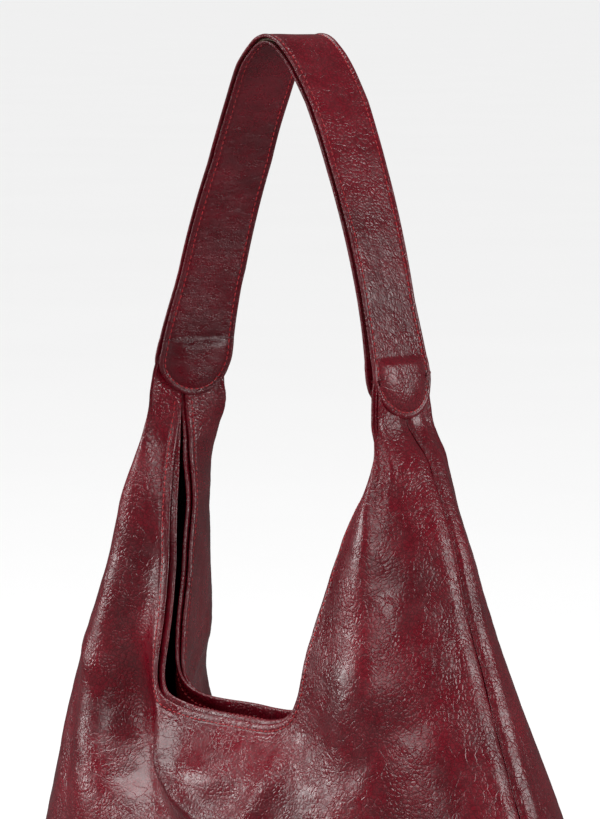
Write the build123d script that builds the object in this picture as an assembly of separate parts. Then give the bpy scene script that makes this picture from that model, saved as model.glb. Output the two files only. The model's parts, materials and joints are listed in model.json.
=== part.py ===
from build123d import *
import math
import os

os.makedirs("parts", exist_ok=True)

# A soft leather hobo bag with one broad shoulder strap.
# Frame: X from horn to horn, Y from the front (-Y) to the back (+Y), Z up.
# The origin is the middle of the base, on the surface that the bag stands on.

# ---------------------------------------------------------------- driving dimensions, mm
LEATHER = 1.8            # shell leather
LINING = 0.6             # lining cloth
FACING = 1.4             # leather band inside the mouth
LAYER_GAP = 1.0          # air between one layer and the next
FACING_INSIDE = LEATHER + 2 * LAYER_GAP + LINING + FACING
LAYER_TOP = 339.0        # where the lining and the facing end inside the horns

HORN_TOP = 369.0         # where the body's horns end, just under the strap tabs
MOUTH_BOTTOM = {"front": 204.0, "back": 208.0}
MOUTH_CORNER = 34.0      # height over which the mouth edge turns from its bottom into a horn
FACING_DEPTH = 28.0      # facing, measured down from the mouth's bottom edge
FACING_SHARE = 0.25      # the same facing as a share of a horn's half section

# Half sections of the shell, from the base up. At each height: the side seam, the fold where
# the panel turns round towards the middle, the mouth line, and the middle of the panel.
COLUMNS = ("height", "seam_x", "fold_x", "front_fold", "lip_x", "front_lip", "front_middle",
           "back_fold", "back_lip", "back_middle")
STATIONS = [
    (0, 152, 122, -46, 50, -56, -57, 46, 56, 57),
    (10, 170, 137, -54, 56, -66, -68, 54, 66, 68),
    (35, 188, 151, -60, 60, -75, -77, 60, 75, 77),
    (80, 198, 158, -62, 62, -79, -80, 63, 79, 80),
    (119, 195, 154, -59, 62, -78, -80, 60, 62, 62),
    (150, 187, 148, -56, 61, -74, -78, 57, 29, 29),
    (174, 176.5, 142, -55, 60, -68, -73, 51, 4, 4),
    (205, 163.5, 133, -54, 60, -54, -51, 42, -28, -28),
    (230, 154, 127, -51, 61.3, -51.3, -50, 35, -31, -30),
    (277, 135.3, 114, -44, 68, -39.8, -40, 27, -21, -22),
    (313, 124.2, 108, -39, 75.5, -31, -31, 20, -12, -12),
    (345, 113, 101, -34, 83.6, -22.3, -20, 17, -6, -6),
    (369, 93, 90, -25, 82.5, -14, -14, 20, -7, -7),
]
FOLD = 0.33              # where the fold lies, from 0 at the seam to 1 at the panel's middle
LIP = 0.75               # where the mouth line lies
SEAM_FULLNESS = 1.6      # how square the section leaves the side seam
HORN_SHARE = 0.14        # part of a half panel's strips that end on the horn's top
CORNER_SHARE = 0.60      # where the strips start to end on the mouth's rounded corner
CORNER_SWEEP = 2.2       # how late the strips on that corner run out to the middle

# Strap: one flat band whose ends are half-round tabs sewn over the horns' tips.
STRAP_TOP = 570.6
STRAP_TURNS = [(17, 40), (80, 17), (430, 23), (90, 10)]   # radius and turn, from the apex down
STRAP_LEATHER = 1.6
STRAP_CORE = 1.9
TAB_RADIUS = 23.0
TAB_CENTRE = 393.0       # height of the tab's half round, and of the line that the strap folds on
STRAP_HALF_WIDTHS = [(23, 393), (20.5, 432), (20, 520), (21, 580)]   # half width, height
TIP_TOP = 399.0          # top of a horn's tip between the strap's two leaves

SNAP_DROP = 15.0         # snap centre, down the wall from the mouth edge
SNAP_RADIUS = 8.0
SNAP_CUP = 2.4
SNAP_STUD_RADIUS = 3.0
SNAP_STUD_RISE = 1.1     # the stud, above its cup
SNAP_PLAY = 0.4          # air round the stud in the socket
SNAP_CHAMFER = 0.7
WASHER_RADIUS = 4.0
WASHER_HOLE = 1.5
WASHER = 0.2

ZIP_HEIGHT = 165.0       # middle of the inner pocket's zip on the back wall
ZIP_LENGTH = 150.0
ZIP_TAPE = 10.0          # width of each side's tape
TOOTH_WIDTH = 3.0
TOOTH_PITCH = 3.0
TAPE_THICKNESS = 0.6
TAPE_END = 8.0           # tape beyond each end of the row of teeth
SLIDER_START = -68.0     # slider at the zip's closed end
SLIDER_DEPTH = 4.4
BAR_RADIUS = 0.8         # bar on the slider that the pull is folded round
BAR_HEIGHT = 4.7         # above the middle of the teeth
PULL_WIDTH = 5.0
PULL_LENGTH = 28.0
PULL_LEATHER = 1.0
PULL_PLAY = 0.35         # air between the pull's fold and the bar
POCKET_TOP = 149.0
POCKET_BOTTOM = 52.0
POCKET_CLOTH = 1.8       # the pouch's two layers of cloth, lying flat
BOARD = 1.6              # stiff board in the base

SMALL = 0.02             # step for slopes in the half-section coordinate
SLIT = 0.1               # half of the gap where the front and back meet at the side seams


# ---------------------------------------------------------------- shape of the shell
def smooth_step(low, high, value):
    share = min(1.0, max(0.0, (value - low) / (high - low)))
    return share * share * (3 - 2 * share)


def cubic(start, end, leave, arrive, share):
    """A cubic from start to end with the given end slopes, at share from 0 to 1."""
    back = 1 - share
    return ((1 + 2 * share) * back * back * start + share * back * back * leave
            + share * share * (3 - 2 * share) * end - share * share * back * arrive)


def station_value(name, height):
    """A column of STATIONS at any height, on a curve that never overshoots its stations."""
    column = COLUMNS.index(name)
    heights = [row[0] for row in STATIONS]
    values = [row[column] for row in STATIONS]
    last = len(values) - 1
    rise = [(values[i + 1] - values[i]) / (heights[i + 1] - heights[i]) for i in range(last)]

    def slope(i):
        if i == 0 or i == last:
            return rise[0] if i == 0 else rise[-1]
        if rise[i - 1] * rise[i] <= 0:
            return 0.0
        below = heights[i] - heights[i - 1]
        above = heights[i + 1] - heights[i]
        weights = (2 * above + below, above + 2 * below)
        return sum(weights) / (weights[0] / rise[i - 1] + weights[1] / rise[i])

    i = max(k for k in range(last) if k == 0 or height > heights[k])
    span = heights[i + 1] - heights[i]
    share = (height - heights[i]) / span
    return cubic(values[i], values[i + 1], slope(i) * span, slope(i + 1) * span, share)


def shell_point(side, across, height):
    """Outer surface of the right half: across is 0 at the seam, LIP at the mouth line, 1 in the middle."""
    seam = Vector(station_value("seam_x", height), 0)
    fold = Vector(station_value("fold_x", height), station_value(side + "_fold", height))
    lip = Vector(station_value("lip_x", height), station_value(side + "_lip", height))
    middle = Vector(0, station_value(side + "_middle", height))
    outer, inner, centre = fold - seam, lip - fold, middle - lip
    outer_slope, inner_slope, centre_slope = outer / FOLD, inner / (LIP - FOLD), centre / (1 - LIP)
    at_seam = Vector(0, SEAM_FULLNESS * fold.Y / FOLD)
    share = (LIP - FOLD) / LIP
    at_fold = outer_slope * share + inner_slope * (1 - share)
    share = (1 - LIP) / (1 - FOLD)
    closed = inner_slope * share + centre_slope * (1 - share)
    opened = inner_slope * 1.5 - at_fold * 0.5
    share = smooth_step(MOUTH_BOTTOM["front"], MOUTH_BOTTOM["front"] + MOUTH_CORNER, height)
    at_lip = closed * (1 - share) + opened * share
    at_middle = Vector(-lip.X / (1 - LIP), 0)
    if across <= FOLD:
        ends, span, place = (seam, fold, at_seam, at_fold), FOLD, across / FOLD
    elif across <= LIP:
        ends, span = (fold, lip, at_fold, at_lip), LIP - FOLD
        place = (across - FOLD) / span
    else:
        ends, span = (lip, middle, at_lip, at_middle), 1 - LIP
        place = (across - LIP) / span
    start, end, leave, arrive = (tuple(v) for v in ends)
    x, y = (cubic(start[i], end[i], leave[i] * span, arrive[i] * span, place) for i in (0, 1))
    return Vector(x, y, height)


def outward(side, across, height):
    """Outward unit normal. It is level at the base and at the horns' tops, so edges end flat there."""
    open_above = MOUTH_BOTTOM[side] + MOUTH_CORNER
    limit = LIP if height > open_above else 1.0
    forward = -1 if side == "front" else 1
    if across < SMALL:
        along = Vector(0, forward, 0)
    elif across > 1 - SMALL:
        along = Vector(-1, 0, 0)
    else:
        far, near = min(across + SMALL, limit), across - SMALL
        along = shell_point(side, far, height) - shell_point(side, near, height)
    high, low = min(height + 1, HORN_TOP), max(height - 1, 0)
    up = shell_point(side, across, high) - shell_point(side, across, low)
    normal = along.cross(up) * forward
    level = smooth_step(0, 12, height) * (1 - smooth_step(HORN_TOP - 30, HORN_TOP, height))
    return Vector(normal.X, normal.Y, normal.Z * level).normalized()


def layer_point(side, across, height, depth):
    """A point that lies depth inside the shell's outer surface, just clear of the seam plane."""
    point = shell_point(side, across, height) - outward(side, across, height) * depth
    forward = -1 if side == "front" else 1
    return Vector(point.X, forward * max(forward * point.Y, SLIT) if across < SMALL else point.Y, point.Z)


def top_edge(side, strip, inset=0.0):
    """Where strip (0 at the seam, 1 in the middle) ends at the top, as (across, height)."""
    line = LIP - FACING_SHARE * inset
    bottom = MOUTH_BOTTOM[side] - FACING_DEPTH * inset
    if strip <= HORN_SHARE:
        return line * strip / HORN_SHARE, HORN_TOP
    if strip <= CORNER_SHARE:
        share = (strip - HORN_SHARE) / (CORNER_SHARE - HORN_SHARE)
        return line, HORN_TOP + (bottom + MOUTH_CORNER - HORN_TOP) * share
    share = (strip - CORNER_SHARE) / (1 - CORNER_SHARE)
    return line + (1 - line) * share ** CORNER_SWEEP, bottom + MOUTH_CORNER * (1 - share) ** 3


def thin_section(outer, inner):
    """A closed strip section from rows of outer and inner points, which lie at RISES along it."""
    falls = [1 - r for r in RISES[::-1]]
    return Wire([Edge.make_spline(outer, parameters=RISES), Edge.make_line(outer[-1], inner[-1]),
                 Edge.make_spline(inner[::-1], parameters=falls), Edge.make_line(inner[0], outer[0])])


def mirrored(points):
    return [Vector(-p.X, p.Y, p.Z) for p in points]


def through_strips(side, strips, route, near, far):
    """A thin solid between depths near and far, lofted from strip to strip across both halves."""
    rows = []
    for strip in strips:
        path = route(strip)
        rows.append([[layer_point(side, a, h, depth) for a, h in path] for depth in (near, far)])
    right = [thin_section(outer, inner) for outer, inner in rows]
    left = [thin_section(mirrored(outer), mirrored(inner)) for outer, inner in rows[-2::-1]]
    return Solid.make_loft(right + left, ruled=True)


def spread(start, end, count):
    return [start + (end - start) * i / count for i in range(count + 1)]


PANEL_STRIPS = (spread(0, HORN_SHARE, 6) + spread(HORN_SHARE, CORNER_SHARE, 10)[1:]
                + spread(CORNER_SHARE, 1, 8)[1:])
RISES = [0, 0.012, 0.03, 0.06, 0.1, 0.16, 0.24, 0.33, 0.42, 0.5, 0.58, 0.66, 0.74, 0.82, 0.9, 0.95, 1]


def wall(side, near, far, foot=0.0, top=HORN_TOP):
    """A whole front or back layer, from foot up to the mouth edge, or to top in the horns."""
    def route(strip):
        across, height = top_edge(side, strip)
        low, high = foot / height, min(1, top / height)
        rises = [low + (high - low) * r for r in RISES]
        return [(strip + (across - strip) * r, height * r) for r in rises]
    return through_strips(side, PANEL_STRIPS, route, near, far)


def mouth_zone(side, inset):
    """Everything within the facing's width of the mouth edge, right through the bag."""
    edge = [shell_point(side, *top_edge(side, s, inset)) for s in spread(HORN_SHARE, 1, 16)]
    right = [Vector(p.X, -200, p.Z) for p in edge]
    left = mirrored(right)[::-1]
    above = Vector(right[0].X, -200, HORN_TOP + 20)
    outline = [Edge.make_spline(right + left[1:]), Edge.make_line(left[-1], mirrored([above])[0]),
               Edge.make_line(mirrored([above])[0], above), Edge.make_line(above, right[0])]
    return Solid.extrude(Face(Wire(outline)), Vector(0, 400, 0))


def facing(side):
    """The leather band that lies inside the mouth, from horn top to horn top."""
    band = wall(side, FACING_INSIDE - FACING, FACING_INSIDE, 120, LAYER_TOP) & mouth_zone(side, 1)
    return band.solids().sort_by(SortBy.VOLUME)[-1]


def lining(side):
    """The lining's front or back, whose top runs up behind the facing."""
    near = LEATHER + LAYER_GAP
    return wall(side, near, near + LINING, LEATHER + BOARD + 2, LAYER_TOP)


def footprint(depth, bottom, thickness):
    """A flat sheet that fills the base, depth inside the shell."""
    across = spread(0, 1, 9)
    front = [layer_point("front", a, 0, depth) for a in across]
    back = [layer_point("back", a, 0, depth) for a in across]
    front[0] = back[0] = Vector(front[0].X, 0, 0)
    ring = [Edge.make_spline(front), Edge.make_spline(mirrored(front)[::-1]),
            Edge.make_spline(mirrored(back)), Edge.make_spline(back[::-1])]
    sheet = Face(Wire(ring)).moved(Location((0, 0, bottom)))
    return Solid.extrude(sheet, Vector(0, 0, thickness))


# ---------------------------------------------------------------- strap
def strap_arc(depth, mirror):
    """Points and edges of the strap's side view, depth inside its outer face, from the apex down."""
    edges = []
    radius, heading = STRAP_TURNS[0][0], 0.0
    centre = Vector(0, 0, STRAP_TOP - radius)
    for radius_next, turn in STRAP_TURNS:
        before = Vector(math.sin(heading), 0, math.cos(heading))
        centre = centre + before * (radius - radius_next)
        radius = radius_next
        stops = [heading + math.radians(turn) * share for share in (0, 0.5, 1)]
        heading = stops[-1]
        points = [centre + Vector(math.sin(a), 0, math.cos(a)) * (radius - depth) for a in stops]
        edges.append(Edge.make_three_point_arc(*(mirrored(points) if mirror else points)))
    foot = points[-1]
    end = Vector(foot.X, 0, TAB_CENTRE - TAB_RADIUS)
    ends = mirrored([foot, end]) if mirror else [foot, end]
    edges.append(Edge.make_line(*ends))
    return edges, ends[1]


def strap_band(near, far):
    """The strap's layer between two depths, before its edges are trimmed to width."""
    outer_right, a = strap_arc(near, False)
    outer_left, b = strap_arc(near, True)
    inner_right, c = strap_arc(far, False)
    inner_left, d = strap_arc(far, True)
    outline = Wire(outer_right + outer_left + inner_right + inner_left
                   + [Edge.make_line(a, c), Edge.make_line(b, d)])
    width = 2 * TAB_RADIUS + 8
    return Solid.extrude(Face(outline).moved(Location((0, -width / 2, 0))), Vector(0, width, 0))


def strap_outline(inset):
    """The strap seen from its side: its width all the way up, and the tabs' half-round ends."""
    right = [(w - inset, h) for w, h in STRAP_HALF_WIDTHS]
    left = [(-w, h) for w, h in right[::-1]]
    end = (0, TAB_CENTRE - TAB_RADIUS + inset)
    with BuildSketch(Plane.YZ) as view:
        with BuildLine():
            Polyline(*right, *left)
            ThreePointArc(left[-1], end, right[0])
        make_face()
    return extrude(view.sketch, amount=150, both=True)


def slab(low, high):
    return Pos(0, 0, (low + high) / 2) * Box(400, 200, high - low)


def strap_layer(near, far, inset, low, high):
    return strap_band(near, far) & strap_outline(inset) & slab(low, high)


# ---------------------------------------------------------------- snap and inner pocket
def wall_plane(side, height, depth):
    """A plane inside a wall's middle: X along the bag, Y up the wall, Z into the bag."""
    return Plane(origin=layer_point(side, 1, height, depth), x_dir=(1, 0, 0),
                 z_dir=outward(side, 1, height) * -1)


def snap_half(side):
    """One magnet of the snap in its pressed cup, on the facing: the stud is at the back."""
    at = wall_plane(side, MOUTH_BOTTOM[side] - SNAP_DROP, FACING_INSIDE + 0.5)
    base = (Align.CENTER, Align.CENTER, Align.MIN)
    cup = Cylinder(SNAP_RADIUS, SNAP_CUP, align=base)
    cup = chamfer(cup.edges().sort_by(Axis.Z)[-1], SNAP_CHAMFER)
    if side == "front":
        hole = Cylinder(SNAP_STUD_RADIUS + SNAP_PLAY, SNAP_CUP, align=base)
        return at * (cup - Pos(0, 0, SNAP_CUP / 2) * hole)
    return at * (cup + Pos(0, 0, SNAP_CUP) * Cylinder(SNAP_STUD_RADIUS, SNAP_STUD_RISE, align=base))


def snap_washer(side):
    """The washer that the snap's prongs are bent over, between the shell and the facing."""
    at = wall_plane(side, MOUTH_BOTTOM[side] - SNAP_DROP, LEATHER + LAYER_GAP / 2 + 0.1)
    return at * (Cylinder(WASHER_RADIUS, WASHER) - Cylinder(WASHER_HOLE, 1))


def zip_tape(sign):
    """One side's tape of the zip: the upper one for +1, the lower one for -1."""
    tape = Box(ZIP_LENGTH + 2 * TAPE_END, ZIP_TAPE, TAPE_THICKNESS)
    return zip_plane * Pos(0, sign * (ZIP_TAPE + TOOTH_WIDTH) / 2, 0) * tape


def zip_teeth():
    """The closed row of teeth, one block for each meshed pair."""
    count = int((ZIP_LENGTH - 8) / TOOTH_PITCH)
    first = -(count - 1) * TOOTH_PITCH / 2
    tooth = Box(TOOTH_PITCH * 0.7, TOOTH_WIDTH - 0.2, 1.4)
    return [zip_plane * Pos(first + i * TOOTH_PITCH, 0, 0) * tooth for i in range(count)]


def zip_stops():
    """The two metal stops that end the row of teeth."""
    stop = Box(3, TOOTH_WIDTH - 0.2, 2.6)
    return [zip_plane * Pos(sign * ZIP_LENGTH / 2, 0, 0) * stop for sign in (-1, 1)]


def zip_slider():
    """The slider's upper and lower wings, with the bar that the pull hangs from."""
    wings = Box(10, 9.4, SLIDER_DEPTH) - Box(12, 3.8, 2.2) - Box(12, 12, 1.2)
    lower, upper = wings.solids().sort_by(Axis.Z)
    upper += Pos(0, 0, BAR_HEIGHT) * Rot(0, 90, 0) * Cylinder(BAR_RADIUS, 9.4)
    post_foot = SLIDER_DEPTH / 2
    post = Box(1.6, 1.6, BAR_HEIGHT - post_foot + 1)
    for x in (-4.1, 4.1):
        upper += Pos(x, 0, (BAR_HEIGHT + post_foot) / 2) * post
    return [zip_plane * Pos(SLIDER_START, 0, 0) * wing for wing in (lower, upper)]


def zip_pull():
    """A leather pull folded round the slider's bar, hanging straight down from it."""
    axis = (zip_plane * Pos(SLIDER_START, 0, BAR_HEIGHT)).position
    across = Rot(0, 90, 0)
    eye = BAR_RADIUS + PULL_PLAY
    fold = across * (Cylinder(eye + PULL_LEATHER, PULL_WIDTH) - Cylinder(eye, PULL_WIDTH + 1))
    tail_top = eye + PULL_LEATHER * 0.4
    tail = Box(PULL_WIDTH, 2 * PULL_LEATHER, PULL_LENGTH - tail_top)
    tail = Pos(0, 0, -(tail_top + PULL_LENGTH) / 2) * tail
    return Pos(axis) * (fold + tail)


def pocket_bag():
    """The pocket's cloth pouch, flat on the back lining below the zip."""
    near = LEATHER + LAYER_GAP + LINING + 0.5
    pouch = wall("back", near, near + POCKET_CLOTH, POCKET_BOTTOM - 6)
    outline = Box(ZIP_LENGTH + 14, 300, POCKET_TOP - POCKET_BOTTOM)
    return pouch & Pos(0, 0, (POCKET_BOTTOM + POCKET_TOP) / 2) * outline


# ---------------------------------------------------------------- the bag
def body_parts():
    parts = {
        "base_panel": footprint(LEATHER + 0.6, 0, LEATHER),
        "base_board": footprint(LEATHER + 6, LEATHER + 0.3, BOARD),
        "base_lining": footprint(LEATHER + 1.2, LEATHER + BOARD + 0.6, LINING),
    }
    for side in ("front", "back"):
        parts[side + "_panel"] = wall(side, 0, LEATHER)
        parts[side + "_lining"] = lining(side)
        parts[side + "_facing"] = facing(side)
        parts["snap_socket" if side == "front" else "snap_stud"] = snap_half(side)
    parts["snap_washers"] = [snap_washer("front"), snap_washer("back")]
    parts["pocket_bag"] = pocket_bag()
    parts["zip_tape_upper"] = zip_tape(1)
    parts["zip_tape_lower"] = zip_tape(-1)
    parts["zip_teeth"] = zip_teeth()
    parts["zip_stops"] = zip_stops()
    return parts


def strap_parts():
    bottom = TAB_CENTRE - TAB_RADIUS
    outer, inner = STRAP_LEATHER, STRAP_LEATHER + STRAP_CORE
    tips = strap_layer(outer + 0.1, inner - 0.1, 2.5, bottom, TIP_TOP)
    left, right = tips.solids().sort_by(Axis.X)
    return {
        "strap_outer": strap_layer(0, outer, 0, bottom, STRAP_TOP + 1),
        "strap_inner": strap_layer(inner, inner + STRAP_LEATHER, 0, bottom, STRAP_TOP + 1),
        "strap_core": strap_layer(outer + 0.1, inner - 0.1, 3, TIP_TOP + 1.5, STRAP_TOP + 1),
        "left_horn_tip": left,
        "right_horn_tip": right,
    }


zip_plane = wall_plane("back", ZIP_HEIGHT, LEATHER + LAYER_GAP + LINING + 4)
sub_parts = {**body_parts(), **strap_parts(), "zip_slider": zip_slider(), "zip_pull": zip_pull()}
for node, shape in sub_parts.items():
    pieces = shape if isinstance(shape, list) else [shape]
    solids = [solid for piece in pieces for solid in piece.solids()]
    export_step(Compound(children=solids), f"parts/{node}.step")

bar = (zip_plane * Pos(SLIDER_START, 0, BAR_HEIGHT)).position
print("pull hinge", [round(value, 3) for value in bar], "slider travel", -2 * SLIDER_START)
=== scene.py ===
import json
import math

import bmesh
import bpy
import numpy as np
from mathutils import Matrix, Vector
from mathutils.bvhtree import BVHTree


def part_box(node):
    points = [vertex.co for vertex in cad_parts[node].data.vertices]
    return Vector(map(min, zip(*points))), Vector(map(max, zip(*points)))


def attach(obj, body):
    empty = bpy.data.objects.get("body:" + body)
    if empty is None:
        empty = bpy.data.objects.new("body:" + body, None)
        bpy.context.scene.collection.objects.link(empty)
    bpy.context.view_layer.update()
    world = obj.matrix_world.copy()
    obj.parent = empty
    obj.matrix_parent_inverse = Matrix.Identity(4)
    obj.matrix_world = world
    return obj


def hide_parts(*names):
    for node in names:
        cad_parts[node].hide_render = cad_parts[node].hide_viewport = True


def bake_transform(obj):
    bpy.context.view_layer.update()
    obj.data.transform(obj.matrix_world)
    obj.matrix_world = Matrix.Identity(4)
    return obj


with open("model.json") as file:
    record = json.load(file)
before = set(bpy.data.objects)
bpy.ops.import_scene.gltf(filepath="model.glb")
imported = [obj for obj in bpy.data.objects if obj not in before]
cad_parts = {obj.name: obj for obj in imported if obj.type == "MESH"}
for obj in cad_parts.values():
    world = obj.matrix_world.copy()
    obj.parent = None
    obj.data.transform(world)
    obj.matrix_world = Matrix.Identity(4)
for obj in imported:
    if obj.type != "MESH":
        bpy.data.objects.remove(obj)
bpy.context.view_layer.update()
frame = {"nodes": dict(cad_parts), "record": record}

# The bag's looks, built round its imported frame. X runs from horn to horn, -Y is the front.
# Shapes are worked out in millimetres, as in the design, and meshes are made in metres.
MM = 0.001
SIDES = ("front", "back")

# ---------------- sizes, mm
LEATHER = 1.8
HORN_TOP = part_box("front_panel")[1].z / MM
CROWN = 392.0            # the horns' leather ends here, between the strap's two leaves
MOUTH_BOTTOM = {"front": 204.0, "back": 208.0}
MOUTH_CORNER = 34.0
HORN_SHARE = 0.14        # share of a half panel's strips that end on the horn's top
CORNER_SHARE = 0.60      # where the strips start to end on the mouth's rounded corner
FOLD, LIP = 0.33, 0.75   # share of the half section at the fold and at the mouth line
SEAM_FULLNESS = 1.6      # how full the section leaves the side seam

# height, side seam, fold, mouth line and middle of each side, from the base up
COLUMNS = ("height", "seam_x", "fold_x", "front_fold", "lip_x", "front_lip", "front_middle",
           "back_fold", "back_lip", "back_middle")
STATIONS = np.array([
    (0, 152, 122, -46, 50, -56, -57, 46, 56, 57),
    (10, 170, 137, -54, 56, -66, -68, 54, 66, 68),
    (35, 188, 151, -60, 60, -75, -77, 60, 75, 77),
    (80, 198, 158, -62, 62, -79, -80, 63, 79, 80),
    (119, 195, 154, -59, 62, -78, -80, 60, 62, 62),
    (150, 187, 148, -56, 61, -74, -78, 57, 29, 29),
    (174, 176.5, 142, -55, 60, -68, -73, 51, 4, 4),
    (205, 163.5, 133, -54, 60, -54, -51, 42, -28, -28),
    (230, 154, 127, -51, 61.3, -51.3, -50, 35, -31, -30),
    (277, 135.3, 114, -45.5, 68, -39.8, -40, 26, -21, -22),
    (313, 124, 107, -39.5, 75.5, -31, -31, 21, -12, -12),
    (345, 108, 98, -31, 84.0, -18.5, -18, 18, -7, -7),
    (369, 91.2, 89.5, -27, 86.0, -9.5, -9.5, 21, -5, -5),
    (392, 89.6, 89, -21.5, 87.4, -6, -6, 21, -3, -3),
], float)

STRAP_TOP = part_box("strap_outer")[1].z / MM
STRAP_TURNS = [(17, 40), (80, 17), (430, 23), (90, 10)]   # radius and turn, from the apex down
STRAP_LEAF = 1.6
STRAP_DEPTH = 5.1        # both leaves and the core
TAB_RADIUS = 23.0
TAB_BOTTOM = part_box("strap_outer")[0].z / MM
STRAP_WIDTHS = np.array([(393, 23), (432, 20.5), (520, 20), (581, 21)], float).T   # height, half width
TIP_LENGTH = 30.0        # how far the horn's tip reaches up inside a tab
TAB_TWIST = math.radians(9)                    # how far each tab is turned towards the front
TWIST_STARTS, TWIST_ENDS = (325, 372), (405, 565)   # the heights where the twist grows and fades
# height and shift in Y of the strap's right and left leg, which lean towards the front (-)
RIGHT_LEAN = np.array([(338, 0), (352, .5), (362, -.5), (372, -2.5), (385, -5), (430, -5.5), (500, -3.5),
                       (535, -1.5), (560, -3), (570, -4.5)], float).T
LEFT_LEAN = np.array([(346, 0), (358, -1.5), (372, -3.5), (385, -4.5), (410, -3), (440, -.5), (500, 0),
                      (535, -3), (555, -5.5), (570, -4.5)], float).T

LINING, LINING_DEPTH = 0.6, 2.9
LINING_FOOT = 4.6        # the side lining starts at this height
LINING_DROP = 9.0        # how far the lining ends below the mouth edge
LINING_TOP = 326.0       # no lining higher up in the horns
FACING = 1.5
FACING_WIDTH = 28.0
FACING_RISE = 3.0        # how far the facing's edge stands up beside the shell's
FACING_FREE = 0.35       # share of the horns' strips that it leaves free at the side seams
FACING_REACH = 0.25      # share of the half panel that it covers in the horns
FACING_DEPTH, FACING_NEARER = 4.4, 1.7   # below the shell's outer face, and how much less at its edge
HORN_CLOSES = (325, 368)                 # the heights where the horn's layers come to lie together
FACING_IN_HORN = 1.9                     # its depth there
SNAP_DROP = 15.0         # the snap's centre below the mouth edge
SNAP_CLEAR = (6, 38)     # folds fade away between these distances from the snap
STITCH_INSET = 3.4
STITCH_PITCH = 3.3
STITCH_LENGTH = 2.5
STITCH_RADIUS = 0.38
STITCH_CORNERS = 6
STITCH_PROFILE = ((-1, 0.25), (-0.82, 0.8), (0, 1.0), (0.82, 0.8), (1, 0.25))   # place along, thickness

# length, count and height of the leather's soft waves, with a seed for each side and for the strap
SHELL_WAVES = ((75, 10, 0.45), (30, 10, 0.2), (13, 12, 0.08))
STRAP_WAVES = ((60, 8, 0.35), (22, 8, 0.16))
SHEET_WAVES, POUCH_WAVES = (60, 8, 0.25), (34, 8, 0.35)
WAVES_START, WAVES_END = (0, 25), (360, 385)   # the heights where the shell's waves grow and fade
SEEDS = {"front": 21, "back": 22, "strap": 31}
random = np.random.default_rng(SEEDS["front"])


def reseed(name):
    """Sets the shared generator back to the start of a piece's own draws."""
    random.bit_generator.state = np.random.default_rng(SEEDS[name]).bit_generator.state


# ---------------- curves and steps
def smooth(low, high, value):
    share = np.clip((value - low) / (high - low), 0, 1)
    return share * share * (3 - 2 * share)


def unit(vectors):
    return vectors / np.linalg.norm(vectors, axis=-1, keepdims=True)


def hump(gap, place, width):
    """1 at a place, fading to 0 within about twice the width."""
    return np.exp(-((gap - place) / width) ** 2)


def half_of(x):
    """-1 for the left half and 1 for the right."""
    return np.where(x < 0, -1.0, 1.0)


def lengths_along(line):
    """Distance along a line of points, from its first point to each."""
    return np.concatenate([[0], np.cumsum(np.linalg.norm(np.diff(line, axis=0), axis=1))])


def cubic(start, end, leave, arrive, share):
    back = 1 - share
    return ((1 + 2 * share) * back * back * start + share * back * back * leave
            + share * share * (3 - 2 * share) * end - share * share * back * arrive)


def station_slopes(values):
    """Slopes at the stations that keep the curve between them from overshooting."""
    step = np.diff(STATIONS[:, 0])
    rise = np.diff(values) / step
    slopes = np.concatenate([rise[:1], np.zeros(len(rise) - 1), rise[-1:]])
    for i in range(1, len(rise)):
        if rise[i - 1] * rise[i] > 0:
            low, high = 2 * step[i] + step[i - 1], step[i] + 2 * step[i - 1]
            slopes[i] = (low + high) / (low / rise[i - 1] + high / rise[i])
    return slopes


SLOPES = {name: station_slopes(STATIONS[:, i]) for i, name in enumerate(COLUMNS)}


def station(name, height):
    values, slopes, heights = STATIONS[:, COLUMNS.index(name)], SLOPES[name], STATIONS[:, 0]
    i = np.clip(np.searchsorted(heights, height) - 1, 0, len(heights) - 2)
    span = heights[i + 1] - heights[i]
    return cubic(values[i], values[i + 1], slopes[i] * span, slopes[i + 1] * span,
                 (height - heights[i]) / span)


def pair(x, y):
    return np.stack(np.broadcast_arrays(np.asarray(x, float), np.asarray(y, float)), -1)


def shell(side, across, height):
    """Outer surface of the right half at across (0 seam, LIP mouth line, 1 middle) and height."""
    across, height = np.broadcast_arrays(np.asarray(across, float), np.asarray(height, float))
    seam = pair(station("seam_x", height), 0)
    fold = pair(station("fold_x", height), station(side + "_fold", height))
    lip = pair(station("lip_x", height), station(side + "_lip", height))
    middle = pair(0, station(side + "_middle", height))
    outer, inner, centre = (fold - seam) / FOLD, (lip - fold) / (LIP - FOLD), (middle - lip) / (1 - LIP)
    at_seam = pair(0, SEAM_FULLNESS * fold[..., 1] / FOLD)
    share = (LIP - FOLD) / LIP
    at_fold = outer * share + inner * (1 - share)
    share = (1 - LIP) / (1 - FOLD)
    closed = inner * share + centre * (1 - share)
    opened = inner * 1.5 - at_fold * 0.5
    share = smooth(MOUTH_BOTTOM["front"], MOUTH_BOTTOM["front"] + MOUTH_CORNER, height)[..., None]
    at_lip = closed * (1 - share) + opened * share
    at_middle = pair(-lip[..., 0] / (1 - LIP), 0)
    spans = [(seam, fold, at_seam, at_fold, 0, FOLD), (fold, lip, at_fold, at_lip, FOLD, LIP),
             (lip, middle, at_lip, at_middle, LIP, 1)]
    flat = np.zeros(across.shape + (2,))
    for start, end, leave, arrive, low, high in spans:
        here = (across >= low) & ((across < high) | (high == 1))
        place = ((across - low) / (high - low))[..., None]
        curve = cubic(start, end, leave * (high - low), arrive * (high - low), place)
        flat = np.where(here[..., None], curve, flat)
    return np.concatenate([flat, height[..., None]], -1)


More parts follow.
